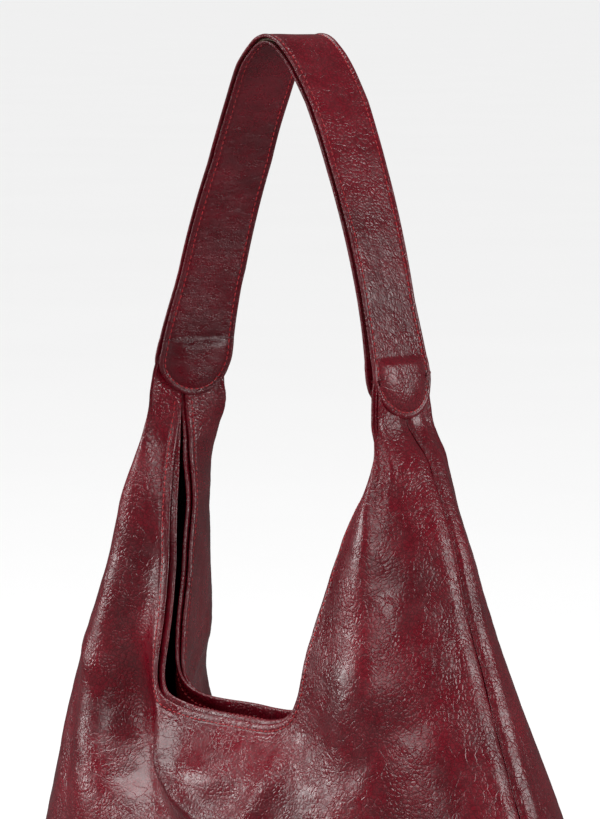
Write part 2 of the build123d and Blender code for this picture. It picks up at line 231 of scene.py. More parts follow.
def outward(side, across, height):
    """Outward unit normals of the right half, kept level along the base's rim."""
    step, rim = 0.01, 12
    limit = np.where(height > MOUTH_BOTTOM[side] + MOUTH_CORNER, LIP, 1.0)
    far, near = np.minimum(across + step, limit), np.maximum(across - step, 0)
    along = shell(side, far, height) - shell(side, near, height)
    high, low = np.minimum(height + 1, CROWN), np.maximum(height - 1, 0)
    up = shell(side, across, high) - shell(side, across, low)
    normal = np.cross(along, up) * (-1 if side == "front" else 1)
    normal[..., 2] *= smooth(0, rim, height)
    return unit(normal)


def top_edge(side, strip):
    """Where strip (0 at the seam, 1 in the middle) ends at the top, as (across, height)."""
    bottom = MOUTH_BOTTOM[side]
    corner = bottom + MOUTH_CORNER
    rise = np.clip((strip - HORN_SHARE) / (CORNER_SHARE - HORN_SHARE), 0, 1)
    turn = np.clip((strip - CORNER_SHARE) / (1 - CORNER_SHARE), 0, 1)
    across = np.where(strip < HORN_SHARE, LIP * strip / HORN_SHARE, LIP + (1 - LIP) * turn ** 2.2)
    height = np.where(strip < CORNER_SHARE, CROWN + (corner - CROWN) * rise,
                      bottom + MOUTH_CORNER * (1 - turn) ** 3)
    return across, height


# ---------------- folds of the soft leather
# A fold is a line of (place, height, rise) with a width. The place runs from -1 at the left seam
# through 0 in the middle to 1 at the right seam, and a negative rise is a valley.
FRONT_FOLDS = [
    (7.5, [(-.255, 240, 1.5), (-.235, 215, 4), (-.19, 192, 6), (-.135, 176, 7), (-.06, 162, 6.5),
           (.03, 152, 4)]),
    (10, [(.02, 151, 3), (.11, 149, 4), (.17, 156, 3.8), (.21, 172, 3.2), (.235, 195, 2.5)]),
    (15, [(-.06, 172, -1.5), (.04, 163, -2.6), (.12, 168, -2.2), (.17, 182, -1.5)]),
    (16, [(-.35, 300, -3), (-.37, 268, -6), (-.38, 240, -11), (-.37, 215, -17), (-.34, 195, -20),
          (-.28, 176, -19), (-.20, 160, -15), (-.10, 146, -10), (0, 136, -6), (.10, 130, -3)]),
    (7, [(-.66, 232, 1.5), (-.52, 220, 2.2), (-.44, 212, 1.5)]),
    (8, [(-.72, 236, -2), (-.60, 190, -3), (-.50, 140, -2)]),
    (16, [(-.52, 205, 2), (-.44, 160, 4), (-.36, 120, 3)]),
    (3.4, [(.76, 370, 2.2), (.755, 345, 2), (.735, 318, .8)]),
    (3.0, [(.70, 370, -1.4), (.69, 342, -1.2), (.66, 316, -.6)]),
    (8, [(.82, 352, 1.4), (.84, 326, 1.2)]),
    (12, [(.49, 237, 1.5), (.735, 265, 2.2), (.88, 288, 1)]),
    (14, [(.33, 202, 1.5), (.59, 230, 2.6), (.88, 252, 1.5)]),
    (11, [(.42, 178, -2), (.65, 206, -2.6), (.86, 228, -1.5)]),
    (18, [(-.55, 90, 3), (-.30, 60, 4), (0, 48, 3), (.35, 62, 4), (.60, 95, 3)]),
    (14, [(-.72, 60, -3), (-.45, 32, -3)]),
    (14, [(.75, 62, -3), (.45, 30, -3)]),
]
BACK_FOLDS = [
    (11, [(-.58, 262, .6), (-.45, 228, 2), (-.28, 190, 3), (-.08, 172, 1.5)]),
    (11, [(.58, 258, .8), (.45, 224, 2), (.30, 188, 3), (.05, 160, 2)]),
    (14, [(-.66, 225, -1), (-.46, 180, -4), (-.15, 140, -3)]),
    (14, [(.66, 222, -1), (.50, 178, -4), (.20, 138, -3)]),
    (18, [(-.60, 110, 3), (-.25, 88, 5), (.15, 84, 4), (.55, 104, 3)]),
    (12, [(-.45, 62, -2.5), (-.05, 50, -3), (.40, 60, -2.5)]),
    (3.2, [(.76, 370, 1.8), (.74, 330, 1.2)]),
    (3.2, [(-.72, 370, 1.8), (-.70, 328, 1.2)]),
    (3.0, [(-.82, 370, -1.2), (-.80, 338, -.8)]),
]


def mirrored(points, half):
    return points * np.stack([half, np.ones_like(half), np.ones_like(half)], -1)


def fold_points(side, route):
    """A fold's line on the shell, as close points with their rise, which is less at the ends."""
    steps = 12
    knots = np.array(route, float)
    stops = np.linspace(0, len(knots) - 1, steps * (len(knots) - 1) + 1)
    place, height, rise = (np.interp(stops, np.arange(len(knots)), knots[:, i]) for i in range(3))
    ends = np.minimum(stops, stops[-1] - stops)
    rise = rise * smooth(-0.25, 0.6, ends)
    return mirrored(shell(side, 1 - np.abs(place), height), half_of(place)), rise


def waves(points, length, count, height):
    """A sum of soft waves of about the given length, drawn from the shared generator."""
    total = np.zeros(points.shape[:-1])
    for _ in range(count):
        way = random.normal(size=3)
        way /= np.linalg.norm(way)
        size = length * random.uniform(0.6, 1.6)
        total += np.sin(points @ way * 2 * math.pi / size + random.uniform(0, 2 * math.pi))
    return total * height / math.sqrt(count)


def distances(points, line):
    """Distance from each point to every point of a line, for some points at a time."""
    flat, batch = points.reshape(-1, 3), 8000
    for start in range(0, len(flat), batch):
        yield np.linalg.norm(flat[start:start + batch, None] - line[None], axis=-1)


def distance_to(points, line):
    """Distance from each point to a line of close points."""
    return np.concatenate([gaps.min(1) for gaps in distances(points, line)]).reshape(points.shape[:-1])


def nearest(points, line, values):
    """Distance from each point to a line of close points, and the line's value there."""
    softness = 6.0           # mm over which the values of the line's points mix
    closest, means = [], []
    for gaps in distances(points, line):
        closest.append(gaps.min(1))
        weight = np.exp((closest[-1][:, None] ** 2 - gaps ** 2) / (2 * softness ** 2))
        means.append(weight @ values / weight.sum(1))
    return tuple(np.concatenate(part).reshape(points.shape[:-1]) for part in (closest, means))


def folded(side, points, across):
    """How far folds and the side seam's groove push each point of a side's outer surface outward."""
    push = np.zeros(points.shape[:-1])
    for width, route in FRONT_FOLDS if side == "front" else BACK_FOLDS:
        line, rise = fold_points(side, route)
        gap, height = nearest(points, line, rise)
        push += height * hump(gap, 0, width)
    from_seam = np.abs(points[..., 1])
    near = 1 - smooth(0.12, 0.3, across)
    ridge, ridge_place, ridge_width = 0.9, 9, 3.5
    groove, groove_width = 1.9, 1.7
    push += near * ridge * hump(from_seam, ridge_place, ridge_width)
    push -= near * groove * hump(from_seam, 0, groove_width)
    return push


def surface(side, half, across, height):
    """The shell's outer surface with its folds, and its outward normals."""
    normal = mirrored(outward(side, across, height), half)
    points = mirrored(shell(side, across, height), half)
    push = folded(side, points, across)
    reseed(side)
    calm = smooth(*WAVES_START, height) * (1 - smooth(*WAVES_END, height))
    ripple = sum(waves(points, *wave) for wave in SHELL_WAVES)
    snap = np.array([0, 0, MOUTH_BOTTOM[side] - SNAP_DROP])
    from_snap = np.linalg.norm((points - snap)[..., [0, 2]], axis=-1)
    push = (push + ripple * calm) * smooth(*SNAP_CLEAR, from_snap)
    return points + normal * push[..., None], normal


# ---------------- twist of the tabs
def twisted(points):
    """Turns each tab, and the horn's top below it, towards the front, and leans the strap's legs."""
    x, y, z = points[..., 0], points[..., 1], points[..., 2]
    sign = half_of(x)
    turn = TAB_TWIST * smooth(*TWIST_STARTS, z) * (1 - smooth(*TWIST_ENDS, z)) * sign
    centre = sign * strap_middle(z)
    dx = x - centre
    lean = np.where(x < 0, np.interp(z, *LEFT_LEAN), np.interp(z, *RIGHT_LEAN))
    return np.stack([centre + dx * np.cos(turn) - y * np.sin(turn),
                     dx * np.sin(turn) + y * np.cos(turn) + lean, z], -1)


def strap_run(depth, steps=60):
    """The right half of the strap's side view from the apex to the tab's bottom: x, z, normal."""
    radius, heading = STRAP_TURNS[0][0], 0.0
    centre = np.array([0, STRAP_TOP - radius])
    points, normals = [], []
    for radius_next, turn in STRAP_TURNS:
        centre = centre + np.array([math.sin(heading), math.cos(heading)]) * (radius - radius_next)
        radius = radius_next
        for angle in np.linspace(heading, heading + math.radians(turn), steps):
            normals.append((math.sin(angle), math.cos(angle)))
            points.append(centre + np.array(normals[-1]) * (radius - depth))
        heading += math.radians(turn)
    foot = points[-1]
    for z in np.linspace(foot[1], TAB_BOTTOM, 6)[1:]:     # the tab hangs straight down
        points.append(np.array([foot[0], z]))
        normals.append(normals[-1])
    return np.array(points), np.array(normals)


MIDDLE_LINE = strap_run(STRAP_DEPTH / 2)[0]


def strap_middle(z):
    """X of the strap's middle at a height, and of the horn's middle below it."""
    return np.interp(z, MIDDLE_LINE[::-1, 1], MIDDLE_LINE[::-1, 0])


# ---------------- meshes
def make_mesh(name, points, faces, smooth_shading=True):
    mesh = bpy.data.meshes.new(name)
    mesh.from_pydata((np.asarray(points).reshape(-1, 3) * MM).tolist(), [], faces)
    mesh.validate()
    mesh.polygons.foreach_set("use_smooth", [smooth_shading] * len(mesh.polygons))
    piece = bpy.data.objects.new(name, mesh)
    bpy.context.scene.collection.objects.link(piece)
    return piece


def grid_faces(rows, columns, closed_rows=False, flip=False):
    """Quads of a grid, with the last row joined to the first where it is closed."""
    faces = []
    for i in range(rows if closed_rows else rows - 1):
        k = (i + 1) % rows
        for j in range(columns - 1):
            quad = (i * columns + j, i * columns + j + 1, k * columns + j + 1, k * columns + j)
            faces.append(quad[::-1] if flip else quad)
    return faces


def side_caps(rows, columns, flip=False):
    """Quads that close a folded grid along its first and last column."""
    faces = []
    for i in range(rows // 2 - 1):
        other = rows - 1 - i
        for j, turned in ((0, flip), (columns - 1, not flip)):
            quad = tuple(row * columns + j for row in (i, i + 1, other - 1, other))
            faces.append(quad if turned else quad[::-1])
    return faces


def tube_faces(first, corners, rings):
    """Faces of a closed tube made of rings, whose points start at first."""
    last = first + corners * (rings - 1)
    faces = []
    for start in range(first, last, corners):
        for a in range(corners):
            b = (a + 1) % corners
            faces.append((start + a, start + b, start + corners + b, start + corners + a))
    return faces + [tuple(range(first, first + corners))[::-1], tuple(range(last, last + corners))]


def closed_piece(name, grid, flip=False):
    """A mesh from the rows of a closed thin solid, whose last row meets its first."""
    rows, columns = grid.shape[:2]
    faces = grid_faces(rows, columns, True, flip) + side_caps(rows, columns, flip)
    return make_mesh(name, grid, faces)


def strips(horn, rise, corner):
    """Strip values of a half panel from the seam to the middle."""
    return np.concatenate([HORN_SHARE * np.linspace(0, 1, horn, endpoint=False) ** 1.8,
                           np.linspace(HORN_SHARE, CORNER_SHARE, rise, endpoint=False),
                           np.linspace(CORNER_SHARE, 1, corner)])


def panel_columns(values):
    half = np.concatenate([-np.ones(len(values)), np.ones(len(values) - 1)])
    return half, np.concatenate([values, values[-2::-1]])


def edge_frame(points, normal, below):
    """Unit vectors that point out of a panel across its top edge, away from points below the edge."""
    out = unit(np.cross(np.gradient(points, axis=0), normal))
    return out * np.sign(((points - below) * out).sum(-1, keepdims=True) + 1e-9)


def edge_relief(gap, bead, groove):
    """The bead and the groove beside a sewn edge, at a distance from it."""
    bead_place, bead_width, groove_place, groove_width = 1.4, 1.2, 4.2, 0.9
    return bead * hump(gap, bead_place, bead_width) - groove * hump(gap, groove_place, groove_width)


def rolled(outer, inner, out, radius):
    """The rows of a layer's outer face, its rolled top edge, and its inner face back down."""
    centre = (outer[-1] + inner[-1]) / 2
    lift = outer[-1] - centre
    turns = np.linspace(0, math.pi, 7)[1:-1]
    roll = [centre + lift * math.cos(a) + out * radius * math.sin(a) for a in turns]
    return twisted(np.concatenate([outer, np.array(roll), inner[::-1]]))


def sewn_layer(name, side, near, thickness, rows, values, foot, drop=0.0, bead=0.3, highest=CROWN):
    """One layer of a side as a closed thin solid with a rolled top edge.

    near is its depth below the shell's outer surface, and drop how far it ends below the mouth edge."""
    half, strip = panel_columns(values)
    across_top, height_top = top_edge(side, strip)
    height_end = np.minimum(height_top - drop * (strip > HORN_SHARE), highest)
    height = foot + (height_end - foot) * rows[:, None]
    across = strip + (across_top - strip) * height / height_top
    points, normal = surface(side, np.broadcast_to(half, across.shape), across, height)
    edge = points[-1]
    gap = distance_to(points, edge[strip >= HORN_SHARE * 0.9])
    relief = edge_relief(gap, bead, bead * 1.1)
    depth = np.full(gap.shape, float(near))
    thick = thickness + 0.5 * bead * (1 - smooth(5, 9, gap))
    outer = points + normal * (relief - depth)[..., None]
    inner = points - normal * (depth + thick)[..., None]
    out = edge_frame(edge, normal[-1], points[-9])
    return closed_piece(name, rolled(outer, inner, out, thick[-1][:, None] / 2), side == "front")


def mouth_band(name, side):
    """The leather facing inside a mouth edge, from horn to horn, with its edge rolled like the shell's."""
    half, strip = panel_columns(strips(16, 70, 44))
    keep = strip >= HORN_SHARE * FACING_FREE
    half, strip = half[keep], strip[keep]
    across_top, height_top = top_edge(side, strip)
    share = BAND_ROWS[:, None]
    across = np.maximum(across_top - FACING_REACH * (1 - share) * smooth(0, HORN_SHARE, strip), 0.02)
    fall = FACING_WIDTH * (1 - share) * smooth(CORNER_SHARE - 0.2, 0.85, strip)
    height = height_top - 0.6 * (strip > HORN_SHARE) - fall
    points, normal = surface(side, np.broadcast_to(half, across.shape), across, height)
    gap = distance_to(points, points[-1])
    in_horn = smooth(*HORN_CLOSES, height)
    depth = FACING_DEPTH - FACING_NEARER * (1 - smooth(2, 16, gap))
    depth = depth * (1 - in_horn) + FACING_IN_HORN * in_horn
    thick = FACING + 0.4 * (1 - smooth(2, 6, gap)) - 0.5 * in_horn
    out = edge_frame(points[-1], normal[-1], points[-5])
    rise = FACING_RISE * share ** 9          # only in the last rows
    points = points + out * (rise * (1 - 0.6 * in_horn))[..., None]
    outer = points - normal * depth[..., None]
    inner = points - normal * (depth + thick + edge_relief(gap, 0.25, 0.3))[..., None]
    return closed_piece(name, rolled(outer, inner, out, thick[-1][:, None] / 2 * 1.2), side == "front")


def footprint(name, depth, bottom, thickness, count=60):
    """A flat sheet that fills the base, depth inside the shell."""
    across = np.sin(np.linspace(0, math.pi / 2, count))
    rim = {}
    for side in SIDES:
        right = shell(side, across, 0.0) - outward(side, across, np.zeros(count)) * depth
        right[0, 1] = 0
        whole = np.concatenate([right, right[:0:-1] * (-1, 1, 1)])
        rim[side] = whole[np.argsort(whole[:, 0])]
    share = np.linspace(0, 1, 25)[:, None, None]
    sheet = rim["front"] * (1 - share) + rim["back"] * share
    top = sheet + (0, 0, bottom + thickness)
    top[..., 2] += waves(sheet, *SHEET_WAVES)
    under = sheet + (0, 0, bottom)
    return closed_piece(name, np.concatenate([top, under[::-1]]))


# ---------------- strap
RUN, RUN_NORMALS = strap_run(0.0)
STEP_LENGTHS = lengths_along(RUN)
HALF_LENGTH = STEP_LENGTHS[-1]
LENGTH = 2 * HALF_LENGTH


def strap_frame(place):
    """Points and outward normals of the strap's outer face, at place mm from the left tab's end."""
    from_apex = place - HALF_LENGTH
    sign = half_of(from_apex)
    reach = np.abs(from_apex)
    x, z = (np.interp(reach, STEP_LENGTHS, RUN[:, i]) for i in (0, 1))
    nx, nz = (np.interp(reach, STEP_LENGTHS, RUN_NORMALS[:, i]) for i in (0, 1))
    zero = np.zeros_like(x)
    normal = np.stack([sign * nx, zero, nz], -1)
    return np.stack([sign * x, zero, z], -1), unit(normal)


def to_end(place):
    """Distance to the nearer end of the strap."""
    return np.minimum(place, LENGTH - place)


def round_end(place, radius):
    """Half width of a layer with the given radius in the tabs' round ends."""
    return np.sqrt(np.maximum(radius ** 2 - (TAB_RADIUS - to_end(place)) ** 2, 0))


def strap_half_width(place):
    z = strap_frame(place)[0][..., 2]
    wide = np.interp(z, *STRAP_WIDTHS)
    return np.where(to_end(place) < TAB_RADIUS, round_end(place, TAB_RADIUS), wide)


def tab_bulge(place, inside):
    """How far the horn's tip pushes a leaf out, at inside mm from its edge."""
    from_end = to_end(place)
    tip = 1 - smooth(TIP_LENGTH - 1, TIP_LENGTH + 3, from_end)
    fade = 1 - smooth(TIP_LENGTH, TIP_LENGTH + 26, from_end)
    crease = hump(from_end - TIP_LENGTH, 3.2, 1.4)      # just past the tip's end
    dome = 1 - (1 - np.clip((inside - 4) / 11, 0, 1)) ** 2
    swell, step, rise, fall = 0.4, 0.5, 3.0, 0.7
    return swell * fade + (step + rise * dome) * tip - fall * crease * smooth(2, 5, inside)


def strap_places(low, high):
    """Places along the strap, from low to high, that are close together at its round ends."""
    turn = TAB_RADIUS * (1 - np.cos(np.linspace(0, math.pi / 2, 26)))
    body = np.arange(TAB_RADIUS + 2, LENGTH - TAB_RADIUS - 1, 2.0)
    return np.unique(np.clip(np.concatenate([turn, body, (LENGTH - turn)[::-1]]), low, high))


def strap_spread(place, inset, low, high):
    """Points across the strap at each place, and how far each lies inside the layer's outline."""
    radius = TAB_RADIUS - inset
    share = np.sin(np.linspace(-math.pi / 2, math.pi / 2, 61))
    share = np.sign(share) * np.abs(share) ** 0.9
    in_end = to_end(place) < TAB_RADIUS
    wide = np.where(in_end, round_end(place, radius), strap_half_width(place) - inset)
    y = share[None] * wide[:, None]
    inside_round = radius - np.hypot(y, (TAB_RADIUS - to_end(place))[:, None])
    inside = np.where(in_end[:, None], inside_round, wide[:, None] - np.abs(y))
    no_cut = 99          # where the layer runs to the strap's own end, it has no straight cut
    cut = np.minimum(np.abs(place - low) + (low < inset + 0.01) * no_cut,
                     np.abs(place - high) + (high > LENGTH - inset - 0.01) * no_cut)
    return y, np.maximum(np.minimum(inside, cut[:, None]), 0)


def strap_sheet(name, near, far, inset, low, high, bulges, groove=0.0):
    """A layer of the strap between two depths, from place low to high, with rounded edges.

    bulges says how far its two faces follow the horn's tip. A groove lies in the face that shows."""
    place = strap_places(low, high)
    y, inside = strap_spread(place, inset, low, high)
    base, normal = strap_frame(place)
    half, middle = (far - near) / 2, (near + far) / 2
    edge = np.minimum(inside / max(half, 0.3), 1)
    rounding = half * np.sqrt(1 - (1 - edge) ** 2)
    flat = base[:, None] + y[..., None] * np.array([0, 1, 0])
    bulge = tab_bulge(place[:, None], inside)
    ripple = sum(waves(flat, *wave) for wave in STRAP_WAVES) * smooth(0, 4, inside) * 0.6
    relief = groove * (0.7 * hump(inside, 1.7, 1.1) - hump(inside, STITCH_INSET, 0.8))
    top = middle - rounding - bulge * bulges[0] - relief * (bulges[0] > 0) + ripple
    under = middle + rounding - bulge * bulges[1] + relief * (bulges[1] < 0) + ripple
    outer = flat - normal[:, None] * top[..., None]
    inner = flat - normal[:, None] * under[..., None]
    return closed_piece(name, twisted(np.concatenate([outer, inner[::-1]])), True)


def close_seams(piece, distance=0.02):
    """Merges the doubled points along a piece's closed edges."""
    work = bmesh.new()
    work.from_mesh(piece.data)
    bmesh.ops.remove_doubles(work, verts=work.verts, dist=distance * MM)
    bmesh.ops.recalc_face_normals(work, faces=work.faces)
    work.to_mesh(piece.data)
    work.free()
    return piece


# ---------------- stitches
def surface_tree(piece):
    vertices = [v.co.copy() for v in piece.data.vertices]
    return BVHTree.FromPolygons(vertices, [p.vertices[:] for p in piece.data.polygons])


def stitch_seats(path, tree, facing_way):
    """Evenly spaced (point, normal) seats for stitches on a piece, along a path beside it."""
    look_from, look_through = 3, 8       # mm above the path, and down from there
    reach = lengths_along(path)
    count = int(reach[-1] / STITCH_PITCH)
    stops = (np.arange(count) + 0.5) * reach[-1] / count
    places, ways = (np.stack([np.interp(stops, reach, line[:, i]) for i in range(3)], -1)
                    for line in (path, facing_way))
    seats = []
    for place, way in zip(places, ways):
        origin = Vector((place + way * look_from) * MM)
        hit, normal, _, _ = tree.ray_cast(origin, Vector(-way), look_through * MM)
        if hit is None:
            hit, normal, _, _ = tree.find_nearest(Vector(place * MM))
        if normal.dot(Vector(way)) < 0:
            normal = -normal
        seats.append((np.array(hit) / MM, np.array(normal)))
    return seats


def stitch_bar(seat, normal, along):
    """Points of one stitch: rings along a short bar whose ends dip into the leather."""
    cross = np.cross(normal, along)
    points = []
    for t, thick in STITCH_PROFILE:
        rise = 0.12 - 0.3 * abs(t)
        for corner in range(STITCH_CORNERS):
            turn = corner * 2 * math.pi / STITCH_CORNERS
            ring = cross * math.cos(turn) + normal * math.sin(turn)
            points.append(seat + normal * rise + along * t * STITCH_LENGTH / 2
                          + ring * thick * STITCH_RADIUS)
    return points


def stitch_piece(name, rows):
    """One mesh of rows of stitches, each laid on a piece along a path, with the way that it faces."""
    points, faces = [], []
    for piece, path, facing_way in rows:
        seats = stitch_seats(path, surface_tree(piece), facing_way)
        for i, (seat, normal) in enumerate(seats):
            along = seats[min(i + 1, len(seats) - 1)][0] - seats[max(i - 1, 0)][0]
            along /= np.linalg.norm(along) + 1e-9
            faces += tube_faces(len(points), STITCH_CORNERS, len(STITCH_PROFILE))
            points += stitch_bar(seat, normal, along)
    return make_mesh(name, np.array(points), faces)


def mouth_path(side, inset, depth, inward):
    """A line inset mm below the mouth edge, with the way that its stitches face."""
    highest = 350 if inward else HORN_TOP - 1
    half, strip = panel_columns(strips(12, 80, 60))
    keep = strip >= HORN_SHARE
    half, strip = half[keep], strip[keep]
    across, height = top_edge(side, strip)
    points, normal = surface(side, half, across, height)
    below = surface(side, half, strip + (across - strip) * 0.95, height * 0.95)[0]
    path = points - edge_frame(points, normal, below) * inset - normal * depth
    fits = path[:, 2] < highest
    path, normal = path[fits], normal[fits]
    ahead = twisted(path + normal)
    path = twisted(path)
    way = (ahead - path) * (-1 if inward else 1)
    return path, unit(way)


def strap_stitch_path(inner_face):
    """The closed line of stitches just inside the strap's outline."""
    straight = np.arange(TAB_RADIUS, LENGTH - TAB_RADIUS + 1, 1.5)
    wide = strap_half_width(straight) - STITCH_INSET
    turn = np.linspace(-math.pi / 2, math.pi / 2, 40)
    radius = TAB_RADIUS - STITCH_INSET
    left_place, left_y = TAB_RADIUS - radius * np.cos(turn), radius * np.sin(turn)
    place = np.concatenate([straight, LENGTH - left_place, straight[::-1], left_place])
    y = np.concatenate([-wide, left_y, wide[::-1], left_y[::-1]])
    base, normal = strap_frame(place)
    depth = STRAP_DEPTH if inner_face else 0.0
    path = base - normal * depth + y[:, None] * np.array([0, 1.0, 0])
    way = normal * (-1 if inner_face else 1)
    ahead = twisted(path + way)
    path = twisted(path)
    return path, ahead - path


# ---------------- materials
def srgb(r, g, b):
    """A colour of 0 to 255 values, as a shader takes it."""
    def linear(value):
        value /= 255
        return value / 12.92 if value <= 0.04045 else ((value + 0.055) / 1.055) ** 2.4
    return (linear(r), linear(g), linear(b), 1.0)


def scaled(colour, share, lift=0.0):
    return tuple(min(1, c * share + lift) for c in colour[:3]) + (1.0,)


class Nodes:
    """Short helpers to wire a material's nodes."""

    def __init__(self, name):
        self.material = bpy.data.materials.new(name)
        self.material.use_nodes = True
        self.tree = self.material.node_tree
        self.shader = self.tree.nodes["Principled BSDF"]
        self.place = self.add("ShaderNodeTexCoord").outputs["Object"]

    def add(self, kind, links=None, **values):
        node = self.tree.nodes.new(kind)
        for key, value in values.items():
            if key in node.inputs:
                node.inputs[key].default_value = value
            else:
                setattr(node, key, value)
        for key, source in (links or {}).items():
            self.tree.links.new(source, node.inputs[key])
        return node

    def link(self, source, target):
        self.tree.links.new(source, target)

    def stretch(self, scale):
        return self.add("ShaderNodeMapping", {"Vector": self.place}, Scale=scale).outputs[0]

    def noise(self, scale, detail=3.0, rough=0.55, place=None, warp=0.0):
        node = self.add("ShaderNodeTexNoise", {"Vector": place or self.place}, Scale=scale,
                        Detail=detail, Roughness=rough, Distortion=warp)
        return node.outputs["Fac"]

    def cells(self, scale, place):
        """Distance from the edges of irregular cells."""
        node = self.add("ShaderNodeTexVoronoi", {"Vector": place}, feature="DISTANCE_TO_EDGE",
                        Scale=scale, Randomness=1.0)
        return node.outputs["Distance"]

    def ribs(self, scale, direction, distortion, **values):
        """Parallel ribs in a direction."""
        node = self.add("ShaderNodeTexWave", {"Vector": self.place}, wave_type="BANDS",
                        bands_direction=direction, Scale=scale, Distortion=distortion, **values)
        return node.outputs["Fac"]

    def remap(self, value, low, high, to_low=0.0, to_high=1.0):
        node = self.add("ShaderNodeMapRange", {"Value": value}, interpolation_type="SMOOTHSTEP")
        for key, number in zip(("From Min", "From Max", "To Min", "To Max"), (low, high, to_low, to_high)):
            node.inputs[key].default_value = number
        return node.outputs["Result"]

    def patchy(self, scale, low, high):
        """A value that changes between low and high in soft patches."""
        return self.remap(self.noise(scale, 3.0), 0.3, 0.7, low, high)

    def math(self, kind, a, b):
        node = self.add("ShaderNodeMath", operation=kind)
        for socket, value in zip(node.inputs, (a, b)):
            if isinstance(value, (int, float)):
                socket.default_value = value
            else:
                self.link(value, socket)
        return node.outputs[0]

    def warped(self, scale, amount):
        """The object's coordinates, bent by noise."""
        noise = self.add("ShaderNodeTexNoise", {"Vector": self.place}, Scale=scale, Detail=2.0)
        bend = self.add("ShaderNodeVectorMath", {0: noise.outputs["Color"]}, operation="SCALE")
        bend.inputs["Scale"].default_value = amount
        links = {0: self.place, 1: bend.outputs[0]}
        return self.add("ShaderNodeVectorMath", links, operation="ADD").outputs[0]

    def blend(self, share, a, b):
        """Colour a, or b where share is 1."""
        colour_a, colour_b, colour_out = 6, 7, 2     # a mix node's sockets for colours
        node = self.add("ShaderNodeMix", data_type="RGBA")
        self.link(share, node.inputs["Factor"])
        for socket, value in ((colour_a, a), (colour_b, b)):
            if isinstance(value, tuple):
                node.inputs[socket].default_value = value
            else:
                self.link(value, node.inputs[socket])
        return node.outputs[colour_out]

    def bump(self, height, distance, strength=1.0, after=None):
        """Relief of a height map, on top of the relief after."""
        links = {"Height": height}
        if after is not None:
            links["Normal"] = after
        return self.add("ShaderNodeBump", links, Strength=strength, Distance=distance).outputs[0]

    def finish(self, colour, roughness, relief):
        """Wires the maps that the looks here have. The roughness may be one number."""
        self.link(colour, self.shader.inputs["Base Color"])
        self.link(relief, self.shader.inputs["Normal"])
        if isinstance(roughness, float):
            self.shader.inputs["Roughness"].default_value = roughness
        else:
            self.link(roughness, self.shader.inputs["Roughness"])
        return self.material


PER_METRE = 1000         # texture scales are cells to a metre, from sizes in mm


def leather(name, light, dark, cell=2.3, crease=6.5, stretch=(1, 1, 1), gloss=0.29, strength=1.0):
    """Glossy crinkled leather: fine crackle with painted shade along its crease lines, longer creases,
    cloudy colour and lighter high spots.
    """
    n = Nodes(name)
    n.place = n.stretch(stretch)
    fine = n.remap(n.cells(PER_METRE / cell, n.warped(220, 0.0028)), 0.0, 0.32)
    long = n.remap(n.cells(PER_METRE / crease, n.warped(90, 0.007)), 0.0, 0.07)
    patches = n.remap(n.noise(38, 3.0), 0.38, 0.62)
    crackle = n.math("MULTIPLY", fine, n.remap(patches, 0, 1, 0.35, 1.0))
    creases = n.math("MULTIPLY", long, n.remap(n.noise(70, 2.0), 0.42, 0.6, 0.1, 1.0))
    swells = n.noise(PER_METRE / 9, 2.0, 0.5, warp=0.4)
    grain = n.noise(PER_METRE / 1.1, 2.0, 0.6)
    relief = None
    for height, distance, share in ((swells, 0.0011, 0.22), (creases, 0.0005, 0.32),
                                    (crackle, 0.0004, 0.42), (grain, 0.00012, 0.2)):
        relief = n.bump(height, distance, share * strength, relief)
    tone = n.blend(n.remap(n.noise(17, 4.0, 0.6), 0.3, 0.7), dark, light)
    # painted shade: the colour darkens along the crackle's crease lines, where its relief has grooves
    tone = n.blend(n.remap(fine, 0.0, 0.5, 0.45, 0.0), tone, scaled(dark, 0.35))
    edges = n.remap(n.add("ShaderNodeNewGeometry").outputs["Pointiness"], 0.52, 0.60, 0.0, 0.15)
    tone = n.blend(edges, tone, scaled(light, 2.1, 0.01))
    n.shader.inputs["Specular IOR Level"].default_value = 0.62
    return n.finish(tone, n.patchy(PER_METRE / 9, gloss - 0.05, gloss + 0.1), relief)


def cloth(name, light, dark, pitch=0.8, sheen=0.3):
    """Twill: diagonal ribs crossed by fine threads, with painted shade between the ribs and a slight fuzz.
    """
    n = Nodes(name)
    scale = PER_METRE / pitch / 3
    rib = n.ribs(scale, "DIAGONAL", 0.6, Detail=1.0)
    weft = n.ribs(scale, "Z", 0.4)
    weave = n.math("MULTIPLY", rib, n.remap(weft, 0, 1, 0.6, 1.0))
    tone = n.blend(n.noise(60, 4.0), dark, light)
    # painted shade: darker where the weave's relief is low, between the ribs
    tone = n.blend(n.remap(weave, 0, 0.6, 0.6, 0.0), tone, scaled(dark, 0.3))
    n.shader.inputs["Sheen Weight"].default_value = sheen
    return n.finish(tone, n.remap(weave, 0, 1, 0.95, 0.75), n.bump(weave, 0.00015, 0.7))


def metal(name, tone, scratched=0.25):
    """Plated metal with fine scratches and slightly dull patches."""
    n = Nodes(name)
    lines = n.noise(900, 2.0, 0.5, n.stretch((1, 14, 14)))
    colour = n.blend(n.noise(260, 3.0), scaled(tone, 0.75), tone)
    n.shader.inputs["Metallic"].default_value = 1.0
    return n.finish(colour, n.patchy(400, 0.16, 0.16 + scratched), n.bump(lines, 0.00003, 0.35))


def thread(name, light, dark):
    """Waxed thread with a twist and a slight sheen. Its colour is darker in the twist's grooves, which is
    painted shade, and in random patches.
    """
    n = Nodes(name)
    twist = n.ribs(1500.0, "DIAGONAL", 1.0)
    # partly painted shade, darker in the twist's grooves, and partly random tone from the noise
    colour = n.blend(n.math("MULTIPLY", twist, n.noise(300, 2.0)), dark, light)
    n.shader.inputs["Sheen Weight"].default_value = 0.2
    return n.finish(colour, n.remap(twist, 0, 1, 0.62, 0.45), n.bump(twist, 0.00008, 0.6))


